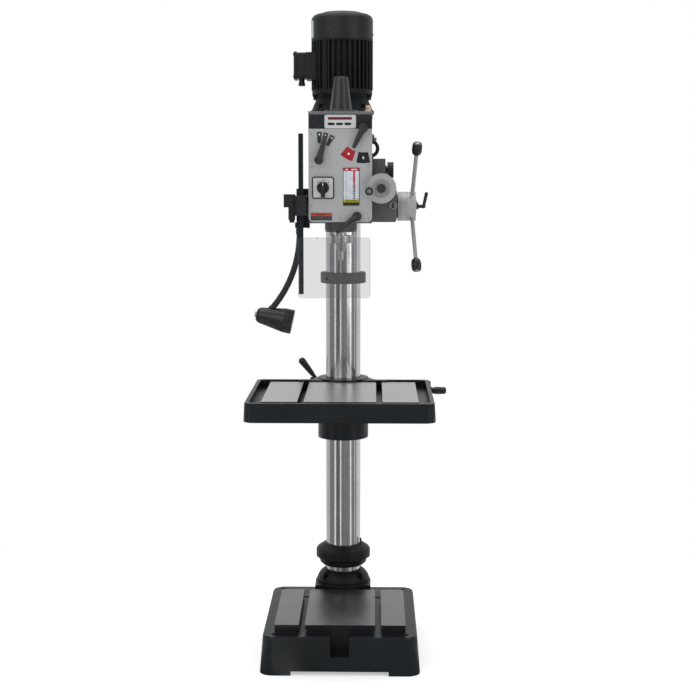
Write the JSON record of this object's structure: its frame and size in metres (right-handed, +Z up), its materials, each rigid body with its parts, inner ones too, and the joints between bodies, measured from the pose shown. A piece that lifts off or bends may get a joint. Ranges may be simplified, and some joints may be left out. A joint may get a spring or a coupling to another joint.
{
  "type": "drill press",
  "caption": "Floor-standing geared-head drill press: round column on a T-slotted base, crank-lifted slotted table, vertical motor, three-arm quill feed, clear guard and lamp.",
  "frame": {"origin": "floor level, centre of the four anchor holes of the base", "axes": "+X to the operator's right, +Y from the operator towards the column, +Z up"},
  "size_m": [0.6315, 0.6605, 2.023],
  "materials": {
    "black_paint": "semi-gloss",
    "grey_casting": "satin",
    "silver_paint": "satin",
    "machined_steel": "ground",
    "bright_steel": "polished",
    "table_iron": "painted, with ground faces",
    "hub_alloy": "satin",
    "black_plastic": "gloss",
    "black_matte": "matte",
    "oil_brass": "satin",
    "worm_bronze": "machined",
    "winding": "varnished",
    "label_film": "printed film and thin plate",
    "clear_sheet": "clear",
    "rubber_black": "matte"
  },
  "bodies": {
    "stand": {"base_casting": "table_iron", "column_flange": "black_paint", "flange_bolts": "machined_steel", "column": "machined_steel", "lower_rack_collar": "black_paint", "upper_rack_collar": "grey_casting", "collar_screws": "machined_steel"},
    "rack": {"table_rack": "machined_steel"},
    "table": {"work_table": "table_iron"},
    "table_clamp": {"table_clamp_lever": "black_plastic"},
    "crank": {"elevating_crank": "black_paint", "table_pinion": "machined_steel"},
    "crank_grip": {"crank_grip": "black_plastic"},
    "head": {"head_casting": "grey_casting", "front_cover": "silver_paint", "cover_screws": "machined_steel", "top_cover": "grey_casting", "spindle_cap": "grey_casting", "oil_filler_plug": "oil_brass", "motor_adapter": "black_paint", "motor_frame": "black_paint", "motor_stator": "winding", "fan_cowl": "black_paint", "adapter_bolts": "machined_steel", "terminal_box": "black_paint", "front_plates": "label_film", "switch_plate": "hub_alloy", "feed_housing": "grey_casting", "wiring_conduit": "rubber_black", "guard_bracket": "black_paint", "lamp_gooseneck": "rubber_black"},
    "rotor": {"motor_rotor": "machined_steel", "motor_fan": "black_matte"},
    "countershaft": {"countershaft": "machined_steel"},
    "drive_sleeve": {"drive_sleeve": "machined_steel"},
    "quill": {"quill": "bright_steel", "quill_bearings": "machined_steel"},
    "spindle": {"spindle": "machined_steel", "chuck_arbor": "bright_steel"},
    "feed": {"feed_shaft": "machined_steel", "feed_hub": "hub_alloy", "depth_dial": "hub_alloy", "feed_handles": "bright_steel", "handle_knobs": "black_plastic"},
    "hub_clamp": {"hub_clamp_lever": "black_plastic"},
    "fine_feed": {"fine_feed_handwheel": "silver_paint", "fine_feed_worm": "machined_steel"},
    "handwheel_knob": {"handwheel_knob": "black_plastic"},
    "worm_wheel": {"worm_wheel": "worm_bronze"},
    "feed_selector": {"feed_selector_knob": "black_plastic"},
    "left_lever": {"left_speed_lever": "black_plastic"},
    "right_lever": {"right_speed_lever": "black_plastic"},
    "quill_lever": {"quill_lever": "black_paint"},
    "switch": {"switch_knob": "black_plastic"},
    "guard_arm": {"guard_block": "black_matte", "guard_switch_box": "black_matte"},
    "guard": {"guard_bar": "black_paint", "guard_shield": "clear_sheet"},
    "lamp": {"lamp_head": "black_matte"},
    "lamp_button": {"lamp_button": "hub_alloy"}
  },
  "joints": [
    {"name": "table_swing", "type": "hinge", "parent": "stand", "child": "rack", "pos_m": [0, 0.247, 0.3], "axis": [0, 0, 1], "range_deg": [-90, 90]},
    {"name": "table_lift", "type": "slide", "parent": "rack", "child": "table", "axis": [0, 0, 1], "range_m": [-0.335, 0.17]},
    {"name": "table_clamp_turn", "type": "hinge", "parent": "table", "child": "table_clamp", "pos_m": [-0.082, 0.3225, 0.813], "axis": [0, 1, 0], "range_deg": [-40, 50]},
    {"name": "crank_turn", "type": "hinge", "parent": "table", "child": "crank", "pos_m": [0, 0.3385, 0.802], "axis": [1, 0, 0], "continuous": true},
    {"name": "crank_grip_spin", "type": "hinge", "parent": "crank", "child": "crank_grip", "pos_m": [0.32, 0.2385, 0.802], "axis": [1, 0, 0], "continuous": true},
    {"name": "head_swivel", "type": "hinge", "parent": "stand", "child": "head", "pos_m": [0, 0.247, 1.45], "axis": [0, 0, 1], "range_deg": [-90, 90]},
    {"name": "motor_spin", "type": "hinge", "parent": "head", "child": "rotor", "pos_m": [0, 0.107, 1.8], "axis": [0, 0, 1], "continuous": true},
    {"name": "countershaft_spin", "type": "hinge", "parent": "head", "child": "countershaft", "pos_m": [0.00927, 0.02251, 1.65], "axis": [0, 0, 1], "continuous": true},
    {"name": "drive_sleeve_spin", "type": "hinge", "parent": "head", "child": "drive_sleeve", "pos_m": [0, -0.0645, 1.65], "axis": [0, 0, 1], "continuous": true},
    {"name": "quill_feed", "type": "slide", "parent": "head", "child": "quill", "axis": [0, 0, -1], "range_m": [0, 0.13], "stiffness_N_per_m": 500, "springref_m": -0.45},
    {"name": "spindle_spin", "type": "hinge", "parent": "quill", "child": "spindle", "pos_m": [0, -0.0645, 1.4], "axis": [0, 0, 1], "continuous": true},
    {"name": "feed_turn", "type": "hinge", "parent": "head", "child": "feed", "pos_m": [0.217, 0.0015, 1.42], "axis": [1, 0, 0], "range_deg": [0, 332]},
    {"name": "hub_clamp_turn", "type": "hinge", "parent": "feed", "child": "hub_clamp", "pos_m": [0.24, 0.0015, 1.42], "axis": [1, 0, 0], "range_deg": [-60, 60]},
    {"name": "fine_feed_turn", "type": "hinge", "parent": "head", "child": "fine_feed", "pos_m": [0.123, -0.166, 1.477], "axis": [0, 1, 0], "continuous": true},
    {"name": "handwheel_knob_spin", "type": "hinge", "parent": "fine_feed", "child": "handwheel_knob", "pos_m": [0.087, -0.19, 1.469], "axis": [0, 1, 0], "continuous": true},
    {"name": "worm_wheel_spin", "type": "hinge", "parent": "head", "child": "worm_wheel", "pos_m": [0.123, 0.0015, 1.42], "axis": [1, 0, 0], "continuous": true},
    {"name": "feed_selector_turn", "type": "hinge", "parent": "head", "child": "feed_selector", "pos_m": [0.15, -0.053, 1.532], "axis": [1, 0, 0], "range_deg": [-90, 90]},
    {"name": "left_lever_turn", "type": "hinge", "parent": "head", "child": "left_lever", "pos_m": [-0.064, -0.16, 1.561], "axis": [0, 1, 0], "range_deg": [-16, 17]},
    {"name": "right_lever_turn", "type": "hinge", "parent": "head", "child": "right_lever", "pos_m": [0.069, -0.16, 1.656], "axis": [0, 1, 0], "range_deg": [-27, 0]},
    {"name": "quill_lever_turn", "type": "hinge", "parent": "head", "child": "quill_lever", "pos_m": [0.05, -0.16, 1.393], "axis": [0, 1, 0], "range_deg": [0, 60]},
    {"name": "switch_turn", "type": "hinge", "parent": "head", "child": "switch", "pos_m": [-0.05175, -0.165, 1.479], "axis": [0, 1, 0], "range_deg": [-60, 60]},
    {"name": "guard_swing", "type": "hinge", "parent": "head", "child": "guard_arm", "pos_m": [-0.119, -0.118, 1.425], "axis": [0, 0, 1], "range_deg": [-60, 0]},
    {"name": "guard_height", "type": "slide", "parent": "guard_arm", "child": "guard", "axis": [0, 0, 1], "range_m": [-0.12, 0.008]},
    {"name": "lamp_tilt", "type": "hinge", "parent": "head", "child": "lamp", "pos_m": [-0.21243, -0.095, 1.10859], "axis": [0, 1, 0], "range_deg": [-15, 15]},
    {"name": "lamp_button_press", "type": "slide", "parent": "lamp", "child": "lamp_button", "axis": [0.9781, 0, -0.2079], "range_m": [0, 0.003], "stiffness_N_per_m": 500, "springref_m": -0.003}
  ],
  "couplings": [
    {"joint": "crank_turn", "follows": "table_lift", "rad_per_m": 50},
    {"joint": "countershaft_spin", "follows": "motor_spin", "ratio": -0.41667},
    {"joint": "drive_sleeve_spin", "follows": "motor_spin", "ratio": 0.24621},
    {"joint": "spindle_spin", "follows": "motor_spin", "ratio": 0.24621},
    {"joint": "feed_turn", "follows": "quill_feed", "rad_per_m": 44.444},
    {"joint": "worm_wheel_spin", "follows": "fine_feed_turn", "ratio": 0.026316}
  ]
}
